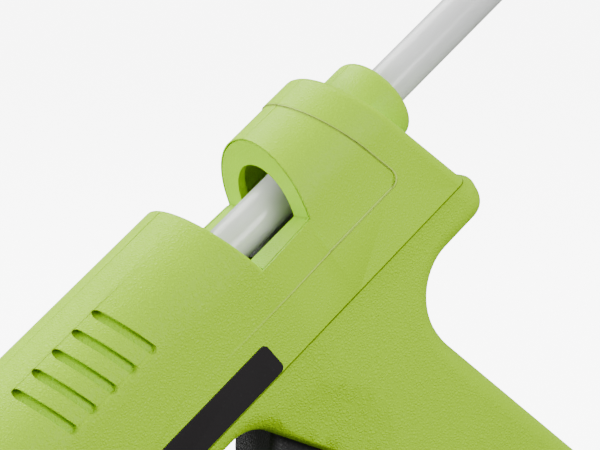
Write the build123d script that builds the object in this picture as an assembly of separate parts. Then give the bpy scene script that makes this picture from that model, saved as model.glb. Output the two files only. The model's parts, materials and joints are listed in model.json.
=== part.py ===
from build123d import *
import math
import os

# Hot-melt glue gun for 11 mm sticks, resting nose-down on its wire stand and the toe of its grip.
# Sizes are in millimetres and degrees. The pieces are laid out along the barrel: x runs from the
# nose (negative) to the stick inlet (positive), z is up from the barrel's axis, and the stance at
# the end leans the whole gun nose-down. The left side of the gun is at negative y.

# ---- Stance ----
stance_angle = 37.5         # how far the barrel leans nose-down at rest
heel_length = 18.0          # flat on the toe of the grip that rests on the bench

# ---- Glue stick and the way through for it ----
stick_radius = 5.6
stick_length = 200.0
stick_tip_x = -62.0
bore_gap = 0.3              # radial gap round the moving stick

# ---- Moulded case ----
wall = 2.4
split_gap = 0.05
front_radius = 19.4         # round top of the front housing
hump_radius = 18.3          # round top of the rear hump
case_half_width = 19.6      # where the flared sides meet the grip
blend_start_x = 1.5         # the housing's section runs into the hump's between these
blend_end_x = 17.5
step_z = -24.8              # where the upper case steps in to the grip
sill_z = -1.4               # bottom of the stick window
nose_x = -86.0
nose_radius = 15.5
ogive_start_x = -54.0
ogive_radius = 38.0
window_lean_front = 12.6
window_lean_rear = 15.1
window_length = 18.9
rear_x = 52.9               # rear of the hump at the axis
rear_lean = 16.4
underside_z = -31.0
grip_half_width = 18.6
grip_edge = 6.0             # rounding of the grip's long edges
case_edge = 1.2             # rounding of the front housing's rear edge
rear_edge = 3.0             # rounding round the hump's rear face
scoop_centre = (-14.5, -54.0)  # dished finger scoop beside the trigger
scoop_radius = 22.0
scoop_depth = 2.6
collar_radius = 11.8
collar_rim = 3.0            # rounding of the collar's rim
collar_end_x = 62.0
slot_width = 2.4
slot_pitch = 6.7
slot_count = 5
first_slot_x = -33.0
slot_low_z = 3.6
slot_high_z = 17.5
slot_depth = 1.4            # the vents are blind grooves
panel_step = 0.35           # how far the rear band stands proud of the side panel
panel_offset = 11.1         # how far ahead of the rear face the band ends
panel_low_z = -11.4
panel_corner = 3.5
label_thickness = 0.35

# ---- Window bezel ----
bezel_thickness = 2.4
bezel_inset = 1.0
bezel_gap = 0.3
window_hole_radius = 11.0

# ---- Heating chamber and nozzle ----
chamber_radius = 8.4
chamber_rear_x = -20.0
chamber_front_x = -80.0
melt_end_x = -74.0
shank_radius = 4.0
nozzle_tip_x = -116.0
orifice_radius = 1.2
fit_gap = 0.05              # fixed pieces that slip together
ring_bore = 9.0
ring_radius = 13.5
nose_hole_radius = 11.5
heater_front_x = -64.0      # the PTC heater's pocket under the chamber
heater_rear_x = -38.0
heater_half = 6.4
heater_top_z = -9.8
film = 0.3
electrode = 0.5
ceramic = 2.4
sleeve_wall = 1.6
cradle_thickness = 2.5
guide_radius = 9.0          # bush in the collar

# ---- Trigger and feed ----
pivot_x = 8.0
pivot_z = -36.0
fork_height = 25.5          # from the pivot up to the carriage pin's line
half_swing = 9.5
pivot_radius = 2.0
pivot_gap = 0.08
pin_radius = 2.0
pin_slot_gap = 0.35
trigger_half_width = 9.5
trigger_gap = 0.8
arm_inner = 6.5
leg_half_width = 6.0
carriage_x = 29.0
carriage_length = 16.0
carriage_radius = 9.5
jaw_x = 38.5
jaw_z = -11.4
jaw_pin_radius = 1.2

# ---- Fasteners, stand and cord inlet ----
screw_radius = 1.5
screw_head_radius = 3.1
screw_head_height = 2.0
screw_seat_y = 8.0
screw_bottom_y = -11.5
boss_radius = 3.7
screw_places = [(-62.0, -24.0), (-12.0, -24.0), (55.6, -29.6), (32.8, -78.0), (28.0, -118.0)]
stand_x = -62.0
stand_z = -19.0
stand_reach = 9.0           # how far ahead of its pivot the stand's foot lands
stand_wire = 1.5
stand_clear = 2.0
stand_bend = 5.0
cord_radius = 3.6
gland_x = 38.6
gland_neck_radius = 5.2
lead_radius = 1.1
lead_y = 3.5

lean = math.radians(stance_angle)
swing = 2 * half_swing
stroke = 2 * fork_height * math.tan(math.radians(half_swing))
pin_z = pivot_z + fork_height
pin_x = pivot_x + stroke / 2
bore_radius = stick_radius + bore_gap
heater_stack = 2 * film + 2 * electrode + ceramic
opening_half = trigger_half_width + trigger_gap

# ---- Grip outline: (x, z, corner radius) ----
toe = (8.5, -118.0)
heel_end = (toe[0] + heel_length * math.cos(lean), toe[1] - heel_length * math.sin(lean))
grip_corners = [
    (nose_x + 2, -12.0, 2.0),
    (50.0, -12.0, 2.0),
    (64.2, -27.8, 2.8),
    (63.7, -36.9, 5.6),
    (31.9, -36.9, 14.6),
    (32.1, -55.1, 20.0),
    (52.0, heel_end[1], 7.0),
    (*heel_end, 3.0),
    (*toe, 3.0),
    (5.0, -92.0, 12.0),
    (-6.0, -62.0, 15.0),
    (-24.0, underside_z, 12.0),
    (nose_x + 2, underside_z, 2.0),
]


def outline(corners):
    """A closed side view with its corners rounded, in the plane of the barrel."""
    points = [(x, z) for x, z, radius in corners]
    radii = [radius for x, z, radius in corners]
    return Plane.XZ * make_face(FilletPolyline(*points, radius=radii, close=True))


def slab(corners, half_width):
    """A side view made solid, half_width to each side of the middle."""
    return extrude(outline(corners), amount=half_width, both=True)


def block(x0, x1, y0, y1, z0, z1):
    """A rectangular block from its lowest to its highest corner."""
    return Pos((x0 + x1) / 2, (y0 + y1) / 2, (z0 + z1) / 2) * Box(x1 - x0, y1 - y0, z1 - z0)


def rod(radius, x0, x1, z=0.0, y=0.0):
    """A round bar along the barrel."""
    return Pos((x0 + x1) / 2, y, z) * Rot(0, 90, 0) * Cylinder(radius, x1 - x0)


def cross_rod(radius, x, z, y0, y1):
    """A round bar across the gun."""
    return Pos(x, (y0 + y1) / 2, z) * Rot(90, 0, 0) * Cylinder(radius, y1 - y0)


def arch_face(radius, inset, x):
    """The case's cross-section at x: a round top whose sides flare to the grip, inset all round."""
    half = case_half_width - inset
    crown_radius = radius - inset
    start = math.degrees(math.atan2(step_z, half) + math.acos(crown_radius / math.hypot(half, step_z)))
    crown = CenterArc((0, 0), crown_radius, start, 180 - 2 * start)
    sides = Polyline(crown @ 1, (-half, step_z), (half, step_z), crown @ 0)
    return Pos(x, 0, 0) * (Plane.YZ * make_face(crown + sides))


def arch(radius, inset, x0, x1):
    """A straight length of the case's cross-section."""
    return extrude(arch_face(radius, inset, x0), amount=x1 - x0, dir=(1, 0, 0))


def front_edge(z, back=0.0):
    """x of the front housing's rear edge at height z, moved back towards the nose."""
    return -z * math.tan(math.radians(window_lean_front)) - back


def hump_face(z, back=0.0):
    """x of the hump's front face at height z."""
    return window_length + z * math.tan(math.radians(window_lean_rear)) + back


def rear_face(z, inset=0.0):
    """x of the hump's rear face at height z."""
    return rear_x - z * math.tan(math.radians(rear_lean)) - inset


def case_arch(inset):
    """Front housing, the blend under the window, and the hump, joined end to end."""
    front = arch(front_radius, inset, nose_x - 10, blend_start_x)
    ends = [arch_face(front_radius, inset, blend_start_x), arch_face(hump_radius, inset, blend_end_x)]
    rear = arch(hump_radius, inset, blend_end_x, rear_x + 20)
    return front + loft(ends, ruled=True) + rear


def ogive(inset):
    """Round bullet shape that the nose is trimmed to."""
    end = nose_x + inset
    small = nose_radius - inset
    large = ogive_radius - inset
    mid = ((end + ogive_start_x) / 2 - 3.5, (small + large) / 2 + 3.0)
    curve = ThreePointArc((end, small), mid, (ogive_start_x, large))
    rim = Polyline((ogive_start_x, large), (ogive_start_x, 0), (end, 0), (end, small))
    return revolve(Plane.XZ * make_face(curve + rim), axis=Axis.X)


def trimmed(solid, inset):
    """The solid with its front end cut to the bullet nose."""
    front = block(nose_x - 30, ogive_start_x, -50, 50, -60, 40)
    return (solid - front) + (solid & ogive(inset))


def upper_outline(inset):
    """Side view of the upper case, with the window's notch between housing and hump."""
    top = front_radius + 6
    low = step_z
    return [
        (nose_x - 8, low, 0),
        (nose_x - 8, top, 0),
        (front_edge(top, inset), top, 0),
        (front_edge(sill_z, inset), sill_z - inset, 0),
        (hump_face(sill_z), sill_z - inset, 0),
        (hump_face(top), top, 0),
        (rear_face(top, inset), top, 0),
        (rear_face(low, inset), low, 0),
    ]


def rim_edges(solid, x_at, tolerance=0.01):
    """The solid's edges that lie on the leaning plane whose x at height z is x_at(z)."""
    return solid.edges().filter_by(
        lambda e: all(abs((e @ t).X - x_at((e @ t).Z)) < tolerance for t in (0, 0.3, 0.7, 1)))


def upper_case():
    """Outside of the upper case, with its soft edges."""
    solid = slab(upper_outline(0), 40) & case_arch(0)
    rear = rim_edges(solid, rear_face).filter_by(lambda e: e.center().Z > step_z + 1)
    solid = fillet(rear, rear_edge)
    front = rim_edges(solid, front_edge).filter_by(lambda e: e.center().Z > sill_z)
    return fillet(front, case_edge)


def grip_case():
    """Outside of the grip, the rear knob and the housing's underside."""
    solid = slab(grip_corners, grip_half_width)
    sides = solid.faces().filter_by(Axis.Y)
    return fillet(sides.edges(), grip_edge)


def collar():
    """Round inlet that the stick goes into."""
    solid = rod(collar_radius, rear_x - 14, collar_end_x)
    rim = solid.edges().sort_by(Axis.X)[-1]
    return fillet(rim, collar_rim)


def scoop(side):
    """Shallow round dish in the grip's side, below the upper case."""
    dish_radius = (scoop_radius ** 2 + scoop_depth ** 2) / (2 * scoop_depth)
    x, z = scoop_centre
    dish = Pos(x, side * (grip_half_width - scoop_depth + dish_radius), z) * Sphere(dish_radius)
    return dish & block(x - scoop_radius - 5, x + scoop_radius + 5, -60, 60, z - scoop_radius - 5, step_z)


def case_outside():
    """The whole outside of the case."""
    body = trimmed(upper_case() + grip_case(), 0) + collar()
    return body - scoop(-1) - scoop(1)


def side_panel():
    """The thin layer taken off ahead of the rear band and above the panel's lower line."""
    top = front_radius + 6
    lower = [
        (hump_face(sill_z) - 60, panel_low_z, 0.2),
        (hump_face(sill_z) - 60, sill_z - 0.01, 0.2),
        (hump_face(sill_z) - 0.5, sill_z, 0.2),
        (hump_face(top) - 0.5, top, 0.2),
        (rear_face(top, panel_offset), top, 0.2),
        (rear_face(panel_low_z, panel_offset), panel_low_z, panel_corner),
    ]
    start = hump_face(sill_z) - 1
    region = slab(lower, 40) & block(start, rear_x, -50, 50, panel_low_z - 1, top + 5)
    return region & (arch(hump_radius + 3, -3, start, rear_x) - arch(hump_radius, panel_step, start - 1, rear_x))


def cavity():
    """The hollow inside the case."""
    inner = offset(outline(grip_corners), amount=-wall)
    grip = extrude(inner, amount=grip_half_width - scoop_depth - wall, both=True)
    top = front_radius + 6
    front = [
        (nose_x - 8, step_z - 1, 0),
        (nose_x - 8, top, 0),
        (front_edge(top, wall), top, 0),
        (front_edge(step_z, wall), step_z - 1, 0),
    ]
    hump = [
        (hump_face(sill_z, -0.5), sill_z - 4, 0),
        (hump_face(sill_z, -0.5), sill_z, 0),
        (hump_face(top, -0.5), top, 0),
        (rear_face(top, wall), top, 0),
        (rear_face(step_z, wall), step_z, 0),
        (hump_face(sill_z, -0.5), step_z, 0),
    ]
    under = [
        (nose_x + wall, step_z, 0),
        (nose_x + wall, sill_z - bezel_thickness - bezel_gap, 0),
        (rear_face(sill_z, wall), sill_z - bezel_thickness - bezel_gap, 0),
        (rear_face(step_z, wall), step_z, 0),
    ]
    upper = (slab(front, 40) + slab(hump, 40) + slab(under, 40)) & case_arch(wall)
    link = block(nose_x + 6, rear_x - 4, -16, 16, step_z - 3, step_z + 3)
    return trimmed(upper + grip + link, wall)


def bezel_outline(grow):
    """Side view of the window's bezel: a ledge along the sill and a face up the hump."""
    top = front_radius + 6
    low = sill_z - bezel_thickness
    return [
        (front_edge(low) + bezel_gap - grow, low - grow, 0),
        (front_edge(sill_z) + bezel_gap - grow, sill_z, 0),
        (hump_face(sill_z), sill_z, 0),
        (hump_face(top), top, 0),
        (hump_face(top, bezel_thickness + grow), top, 0),
        (hump_face(low, bezel_thickness + grow), low - grow, 0),
    ]


def window_bezel():
    """Green frame round the window, let into both case halves."""
    frame = slab(bezel_outline(0), 40) & case_arch(bezel_inset)
    return frame - rod(window_hole_radius, -10, 40)


def bezel_seat():
    """Pocket in the case that the bezel drops into."""
    return slab(bezel_outline(bezel_gap), 40) & case_arch(bezel_inset - bezel_gap)


def vent_slots():
    """Slanted blind vents down both sides of the front housing."""
    middle_z = (slot_low_z + slot_high_z) / 2
    length = math.hypot(slot_high_z - slot_low_z, front_edge(slot_high_z) - front_edge(slot_low_z))
    shape = SlotOverall(length, slot_width, rotation=90 + window_lean_front)
    skin = arch(front_radius, -1, nose_x, 0) - arch(front_radius, slot_depth, nose_x - 1, 1)
    slots = []
    for index in range(slot_count):
        x = first_slot_x - index * slot_pitch + front_edge(middle_z)
        slots.append(extrude(Plane.XZ * Pos(x, middle_z) * shape, amount=30, both=True) & skin)
    return slots


def trigger_opening():
    """Slot down the front of the grip that the trigger works in."""
    low, high = -101, underside_z - 2.2
    return block(-40, pivot_x + 4, -opening_half, opening_half, low, high)


def stand_bosses():
    """Solid pads inside the nose that carry the wire stand's ends."""
    pads = []
    for side in (-1, 1):
        inner, outer = sorted((side * (case_half_width - 7), side * (case_half_width - 1.5)))
        pads.append(cross_rod(4.2, stand_x, stand_z, inner, outer))
    return pads


def case_half(side):
    """One moulded half of the case: side is -1 for the left and 1 for the right."""
    far = side * 60
    hollow = cavity()
    solid = case_outside() - side_panel()
    half = solid - hollow
    for x, z in screw_places:
        half += cross_rod(boss_radius, x, z, *sorted((0, side * (grip_half_width - 1.0)))) & solid
    for pad in stand_bosses():
        half += pad
    half += cross_rod(4.6, pivot_x, pivot_z, *sorted((side * (opening_half + 0.1), side * 15.5)))
    half -= bezel_seat()
    half -= rod(nose_hole_radius, nose_x - 5, nose_x + 6)
    half -= rod(stick_radius + 0.8, rear_x - 20, collar_end_x + 5)
    half -= rod(guide_radius, rear_x - 20, collar_end_x - 2.4)
    half -= rod(8.6, -20, 5)
    half -= trigger_opening()
    for slot in vent_slots():
        half -= slot
    half -= cross_rod(stand_wire + 0.25, stand_x, stand_z, *sorted((side * (case_half_width - 5.5), far)))
    half -= cross_rod(pivot_radius, pivot_x, pivot_z, -13.6, 13.6)
    half -= Pos(gland_x, 0, heel_end[1]) * Cylinder(gland_neck_radius + 0.1, 12)
    for x, z in screw_places:
        if side < 0:
            half -= cross_rod(screw_radius, x, z, screw_bottom_y - 1, 1)
        else:
            half -= cross_rod(screw_radius + 0.25, x, z, -1, 30)
            half -= cross_rod(screw_head_radius + 0.3, x, z, screw_seat_y, 40)
    keep = block(-200, 200, *sorted((side * split_gap / 2, far)), -200, 60)
    return half & keep


def case_screws():
    """Self-tapping screws, driven from the right."""
    screws = []
    for x, z in screw_places:
        shank = cross_rod(screw_radius - 0.02, x, z, screw_bottom_y, screw_seat_y)
        head = cross_rod(screw_head_radius, x, z, screw_seat_y, screw_seat_y + screw_head_height)
        recess = cross_rod(1.1, x, z, screw_seat_y + 0.8, screw_seat_y + screw_head_height + 1)
        screws.append(shank + head - recess)
    return screws


def nose_ring():
    """Heat-proof ring that ties the case halves together at the nose."""
    lip = rod(ring_radius, nose_x - 5, nose_x - 0.1)
    lip = fillet(lip.edges().sort_by(Axis.X)[0], 1.5)
    neck = rod(nose_hole_radius - 0.1, nose_x - 1, nose_x + wall + 2.6)
    flange = rod(nose_hole_radius + 1.2, nose_x + wall + 0.1, nose_x + wall + 2.6)
    return lip + neck + flange - rod(ring_bore, nose_x - 10, nose_x + 20)


def turned(points):
    """A body of revolution about the barrel from (x, radius) points."""
    ends = [(points[0][0], 0)] + points + [(points[-1][0], 0)]
    return revolve(Plane.XZ * make_face(Polyline(*ends, close=True)), axis=Axis.X)


def nozzle():
    """Brass nozzle screwed into the chamber."""
    body = turned([
        (nozzle_tip_x, 1.9),
        (nozzle_tip_x + 3, 2.2),
        (nozzle_tip_x + 12, 4.6),
        (chamber_front_x - 6, 4.6),
        (chamber_front_x - 6, 5.6),
        (chamber_front_x - fit_gap, 5.6),
        (chamber_front_x - fit_gap, shank_radius - fit_gap),
        (melt_end_x, shank_radius - fit_gap),
    ])
    return body - rod(orifice_radius, nozzle_tip_x - 1, melt_end_x - 3) - rod(2.4, melt_end_x - 8, melt_end_x + 1)


def nozzle_sleeve():
    """Silicone boot over the nozzle."""
    body = turned([
        (nozzle_tip_x + 5.5, 5.0),
        (nozzle_tip_x + 9, 6.4),
        (nose_x - 6, 8.6),
        (nose_x - 5.2, ring_bore - 0.1),
        (chamber_front_x - 0.2, ring_bore - 0.1),
    ])
    hole = turned([
        (nozzle_tip_x, 2.2),
        (nozzle_tip_x + 3, 2.4),
        (nozzle_tip_x + 12, 4.75),
        (chamber_front_x - 6.2, 4.75),
        (chamber_front_x - 6.2, 5.75),
        (chamber_front_x + 1, 5.75),
    ])
    return body - hole


def heating_chamber():
    """Aluminium melting chamber with the heater's pocket beneath."""
    body = rod(chamber_radius, chamber_front_x, chamber_rear_x)
    pocket_low = heater_top_z - heater_stack - 0.2
    body += block(heater_front_x - 3, heater_rear_x + 3, -8.6, 8.6, pocket_low - 2.0, 0)
    body -= block(heater_front_x, heater_rear_x, -heater_half - 0.2, heater_half + 0.2, pocket_low, heater_top_z)
    body -= rod(bore_radius, melt_end_x, chamber_rear_x + 1)
    return body - rod(shank_radius, chamber_front_x - 1, melt_end_x + 1)


def heater_layer(start, thickness, trim):
    """One layer of the heater pack, start below the pocket's roof."""
    top = heater_top_z - start
    half = heater_half - trim
    return block(heater_front_x + trim, heater_rear_x - trim, -half, half, top - thickness, top)


def heater_pack():
    """Insulating films, electrodes and the PTC ceramic between them."""
    films = [heater_layer(0, film, 0.1), heater_layer(heater_stack - film, film, 0.1)]
    plates = [heater_layer(film, electrode, 0.6), heater_layer(heater_stack - film - electrode, electrode, 0.6)]
    return films, plates, heater_layer(film + electrode, ceramic, 1.2)


def cradle(x0):
    """Phenolic plate that hangs the hot chamber in the case."""
    plate = rod(front_radius - wall - 0.15, x0, x0 + cradle_thickness)
    return plate - rod(chamber_radius + fit_gap, x0 - 1, x0 + 4)


def inlet_sleeve():
    """Silicone sleeve that seals round the stick behind the chamber."""
    body = turned([
        (chamber_rear_x - 6, chamber_radius + sleeve_wall),
        (chamber_rear_x + 1, chamber_radius + sleeve_wall),
        (chamber_rear_x + 13, bore_radius + sleeve_wall),
    ])
    body -= rod(chamber_radius + fit_gap, chamber_rear_x - 10, chamber_rear_x + fit_gap)
    return body - rod(bore_radius, chamber_rear_x - 10, chamber_rear_x + 20)


def sleeve_clip():
    """Spring ring that grips the sleeve on the chamber."""
    outside = rod(chamber_radius + 2.6, chamber_rear_x - 4.5, chamber_rear_x - 2)
    return outside - rod(chamber_radius + 1.65, chamber_rear_x - 10, chamber_rear_x)


def stick_guide():
    """Bush in the collar that lines the stick up."""
    body = rod(guide_radius - 0.05, rear_x - 6.2, collar_end_x - 2.45)
    return body - rod(bore_radius + 0.1, 0, 100)


def carriage():
    """Slider round the stick that the trigger's fork pulls forward."""
    end = carriage_x + carriage_length
    barrel = rod(carriage_radius, carriage_x, end)
    leg = block(pin_x - 4.2, end, -leg_half_width, leg_half_width, pin_z - 4.2, -7.4)
    body = barrel + leg - rod(bore_radius, carriage_x - 40, end + 5)
    body -= cross_rod(pin_radius + fit_gap, pin_x, pin_z, -20, 20)
    body -= block(jaw_x - 6.5, jaw_x + 5, -2.8, 2.8, -20, -4)
    return body - cross_rod(jaw_pin_radius + fit_gap, jaw_x, jaw_z, -20, 20)


def clamp_jaw():
    """Toothed jaw that bites the stick from below."""
    tip = -stick_radius - 0.75
    corners = [
        (jaw_x - 5.5, tip, 0.2),
        (jaw_x - 0.5, tip - 0.1, 0.2),
        (jaw_x + 3.6, jaw_z - 1.0, 1.0),
        (jaw_x + 1.5, jaw_z - 2.6, 1.0),
        (jaw_x - 3.0, jaw_z - 1.0, 1.0),
    ]
    body = slab(corners, 2.4)
    for index in range(3):
        x = jaw_x - 4.8 + index * 1.5
        notch = Pos(x, 0, tip + 0.15) * Rot(0, 45, 0) * Box(0.7, 6, 0.7)
        body -= notch
    return body - cross_rod(jaw_pin_radius + pivot_gap, jaw_x, jaw_z, -5, 5)


def trigger():
    """Finger lever with a fork above its pivot, hollow from behind."""
    corners = [
        (2.0, -32.8, 2.0),
        (-14.0, -37.0, 5.0),
        (-25.0, -49.0, 9.0),
        (-19.5, -72.0, 30.0),
        (-18.0, -93.0, 3.5),
        (-9.5, -93.0, 3.5),
        (0.0, -66.0, 10.0),
        (12.5, -44.0, 5.0),
        (14.5, -33.0, 4.0),
    ]
    body = slab(corners, trigger_half_width)
    grip_edges = body.faces().filter_by(Axis.Y).edges().filter_by(lambda e: e.center().X < -12)
    body = fillet(grip_edges, 2.4)
    inner = offset(outline(corners), amount=-2.2)
    hollow = extrude(inner, amount=trigger_half_width - 2.2, both=True)
    hollow = hollow + (Pos(6, 0, -1) * hollow)
    body -= hollow
    body -= block(pivot_x - 6, pivot_x + 12, -5.6, 5.6, pivot_z - 12, pivot_z + 8)
    arm_length = fork_height + 5.5
    for side in (-1, 1):
        y0, y1 = sorted((side * arm_inner, side * trigger_half_width))
        arm = block(-5.0, 5.0, y0, y1, -4, arm_length)
        slot_low = fork_height * math.cos(math.radians(half_swing)) - 3.0
        slot = block(-pin_radius - pin_slot_gap, pin_radius + pin_slot_gap, -20, 20, slot_low, arm_length + 1)
        body += Pos(pivot_x, 0, pivot_z) * Rot(0, half_swing, 0) * (arm - slot)
    body += cross_rod(3.4, pivot_x, pivot_z, -trigger_half_width, trigger_half_width)
    return body - cross_rod(pivot_radius + pivot_gap, pivot_x, pivot_z, -20, 20)


def trigger_spring():
    """Torsion spring round the trigger's pivot, with a leg on the trigger and one on the case."""
    mean, wire, turns, pitch = 4.6, 0.5, 7, 1.4
    length = turns * pitch
    coil = Helix(pitch, length, mean)
    first = Line(coil @ 0 - 10 * (coil % 0), coil @ 0)
    last = Line(coil @ 1, coil @ 1 + 8 * (coil % 1))
    path = Wire([first, coil, last])
    spring = sweep(Plane(path @ 0, z_dir=path % 0) * Circle(wire), path=path)
    return Pos(pivot_x, length / 2, pivot_z) * Rot(90, 0, 0) * spring


def wire_stand():
    """Fold-out wire under the nose, shown open."""
    side = case_half_width + stand_clear + stand_wire
    ground = heel_end[0] * math.sin(lean) + heel_end[1] * math.cos(lean)
    pivot_height = stand_x * math.sin(lean) + stand_z * math.cos(lean)
    drop = pivot_height - ground - stand_wire
    foot_x = stand_x - stand_reach * math.cos(lean) - drop * math.sin(lean)
    foot_z = stand_z + stand_reach * math.sin(lean) - drop * math.cos(lean)
    end = case_half_width - 4.5
    path = FilletPolyline(
        (stand_x, -end, stand_z),
        (stand_x, -side, stand_z),
        (foot_x, -side, foot_z),
        (foot_x, side, foot_z),
        (stand_x, side, stand_z),
        (stand_x, end, stand_z),
        radius=stand_bend - 1.5,
    )
    return sweep(Plane(path @ 0, z_dir=path % 0) * Circle(stand_wire), path=path)


def cord_gland():
    """Rubber bush that lines the cord's hole in the heel."""
    z = heel_end[1]
    neck = Pos(gland_x, 0, z + wall / 2 + 0.5) * Cylinder(gland_neck_radius, wall + 1)
    inside = Pos(gland_x, 0, z + wall + 1.4) * Cylinder(gland_neck_radius + 1.3, 2.2)
    return neck + inside - Pos(gland_x, 0, z) * Cylinder(cord_radius, 20)


def terminal_block():
    """Two-way terminal block in the grip."""
    body = block(20, 34, -7, 7, -104, -92)
    for y in (-lead_y, lead_y):
        body -= Pos(27, y, -98) * Cylinder(lead_radius + 0.2, 20)
    return body


def heater_leads():
    """Two leads from the terminal block up the grip and forward under the stick."""
    leads = []
    for y in (-lead_y, lead_y):
        path = FilletPolyline(
            (27, y, -91.8), (25.2, y, -60), (25, y, -18.6), (-33.6, y, -18.6), (-33.6, y, heater_top_z - 3.5),
            radius=[9, 9, 3],
        )
        leads.append(sweep(Plane(path @ 0, z_dir=path % 0) * Circle(lead_radius), path=path))
    return leads


def side_label(side):
    """Blank stick-on plate low on the case's side."""
    corners = [(-56.0, -24.2, 1.6), (-56.0, -15.4, 1.6), (-10.6, -15.4, 1.6), (-9.8, -24.2, 1.6)]
    plate = slab(corners, 40) & (arch(front_radius, -label_thickness, -80, 5) - arch(front_radius, 0, -81, 6))
    return plate & block(-80, 5, *sorted((side * 5, side * 60)), -40, 20)


def placed(shape):
    """The shape leant nose-down, with the toe's flat centred on the origin."""
    middle_x = (toe[0] + heel_end[0]) / 2
    middle_z = (toe[1] + heel_end[1]) / 2
    return Rot(0, -stance_angle, 0) * Pos(-middle_x, 0, -middle_z) * shape


films, plates, ceramic_block = heater_pack()
nodes = {
    "left_shell": case_half(-1),
    "right_shell": case_half(1),
    "shell_screws": case_screws(),
    "window_bezel": window_bezel(),
    "nose_ring": nose_ring(),
    "nozzle": nozzle(),
    "nozzle_sleeve": nozzle_sleeve(),
    "heating_chamber": heating_chamber(),
    "heater_films": films,
    "heater_electrodes": plates,
    "ptc_heater": ceramic_block,
    "front_cradle": cradle(-72.0),
    "rear_cradle": cradle(-31.0),
    "inlet_sleeve": inlet_sleeve(),
    "sleeve_clip": sleeve_clip(),
    "stick_guide": stick_guide(),
    "carriage": carriage(),
    "carriage_pin": cross_rod(pin_radius, pin_x, pin_z, -trigger_half_width - 0.5, trigger_half_width + 0.5),
    "clamp_jaw": clamp_jaw(),
    "jaw_pin": cross_rod(jaw_pin_radius, jaw_x, jaw_z, -leg_half_width, leg_half_width),
    "trigger": trigger(),
    "trigger_pivot": cross_rod(pivot_radius, pivot_x, pivot_z, -13.4, 13.4),
    "trigger_spring": trigger_spring(),
    "glue_stick": rod(stick_radius, stick_tip_x, stick_tip_x + stick_length),
    "left_label": side_label(-1),
    "right_label": side_label(1),
    "wire_stand": wire_stand(),
    "cord_gland": cord_gland(),
    "terminal_block": terminal_block(),
    "heater_leads": heater_leads(),
}

os.makedirs("parts", exist_ok=True)
for name, shape in nodes.items():
    solids = shape if isinstance(shape, list) else [shape]
    group = [placed(solid) for piece in solids for solid in piece.solids()]
    export_step(group[0] if len(group) == 1 else Compound(children=group), f"parts/{name}.step")
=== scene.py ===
import json
import math

import bmesh
import bpy
from bpy.props import FloatProperty, FloatVectorProperty, IntProperty, PointerProperty
from mathutils import Matrix, Vector
from mathutils.bvhtree import BVHTree


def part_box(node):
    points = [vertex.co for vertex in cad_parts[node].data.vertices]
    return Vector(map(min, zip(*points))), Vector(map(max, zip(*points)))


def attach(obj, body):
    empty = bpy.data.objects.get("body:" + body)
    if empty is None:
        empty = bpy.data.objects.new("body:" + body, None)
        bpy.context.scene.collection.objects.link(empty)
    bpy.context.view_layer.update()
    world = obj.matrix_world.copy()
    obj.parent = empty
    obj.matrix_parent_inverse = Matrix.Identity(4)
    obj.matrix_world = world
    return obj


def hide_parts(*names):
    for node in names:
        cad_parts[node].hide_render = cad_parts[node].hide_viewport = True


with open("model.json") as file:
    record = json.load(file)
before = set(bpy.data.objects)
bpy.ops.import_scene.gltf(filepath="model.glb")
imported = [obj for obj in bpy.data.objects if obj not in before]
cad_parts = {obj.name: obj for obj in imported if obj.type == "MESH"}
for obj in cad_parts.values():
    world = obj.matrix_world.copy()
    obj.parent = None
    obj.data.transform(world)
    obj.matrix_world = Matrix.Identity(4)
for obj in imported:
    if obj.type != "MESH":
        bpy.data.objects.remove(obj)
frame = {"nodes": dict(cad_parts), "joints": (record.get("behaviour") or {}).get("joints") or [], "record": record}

bl_info = {
    "name": "Hot glue gun",
    "version": (1, 0, 0),
    "blender": (4, 5, 0),
    "location": "3D View > Sidebar > Glue Gun",
    "description": "Dresses the packed glue gun model: case, trigger, nozzle, stick, stand and studio",
    "category": "Object",
}

MM = 0.001
WELD = 0.000002
STEEL_NODES = (
    "trigger_pivot", "trigger_spring", "carriage_pin", "jaw_pin", "clamp_jaw", "sleeve_clip")
BEYOND = 0.1
LATHE_STEPS = 96
CORNER_STEPS = 6
NODES = frame["nodes"]
JOINTS = {joint["name"]: joint for joint in frame["joints"]}
BODIES = frame["record"]["behaviour"]["bodies"]
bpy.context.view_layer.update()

# ---- The gun's own axes: x back along the barrel, y to the right, z up, in millimetres ----
BACKWARD = -Vector(JOINTS["stick_feed"]["axis"]).normalized()
ACROSS = Vector((0.0, 1.0, 0.0))
UPWARD = BACKWARD.cross(ACROSS)
STICK_MIDDLE_X = 38.0
STICK_MIDDLE = (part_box("glue_stick")[0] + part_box("glue_stick")[1]) / 2
BARREL_START = STICK_MIDDLE - BACKWARD * STICK_MIDDLE_X * MM
TO_WORLD = Matrix((
    (*[v * MM for v in (BACKWARD.x, ACROSS.x, UPWARD.x)], BARREL_START.x),
    (*[v * MM for v in (BACKWARD.y, ACROSS.y, UPWARD.y)], BARREL_START.y),
    (*[v * MM for v in (BACKWARD.z, ACROSS.z, UPWARD.z)], BARREL_START.z),
    (0, 0, 0, 1),
))
LEAN = math.atan2(BACKWARD.z, BACKWARD.x)

# ---- Ends of the glue stick, in millimetres ----
MELTED_LENGTH = 3.2
MELTED_SHARE = 0.72
MELTED_ROUND = 1.6
CUT_EDGE = 0.5

# ---- Surfaces, in metres ----
FINE_RELIEF = 0.00001
METAL_EDGE = 0.0002
MOULDED_EDGE = 0.0003
CASE_EDGE = 0.0004
# Reach of the ambient occlusion that paints shade into grooves and corners
CREVICE_SHADE_REACH = 0.0022
LINE_CORE = 0.00012
LINE_FADE = 0.00042

# ---- Lines moulded in the case, in metres along the gun's axes ----
STEP_Z = -0.0248
LINE_X = 0.0418
LINE_SLOPE = 0.295
LINE_SQUASH = math.cos(math.atan(LINE_SLOPE))
LINE_LOW_Z = -0.0112
LINE_CORNER = 0.0035
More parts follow.
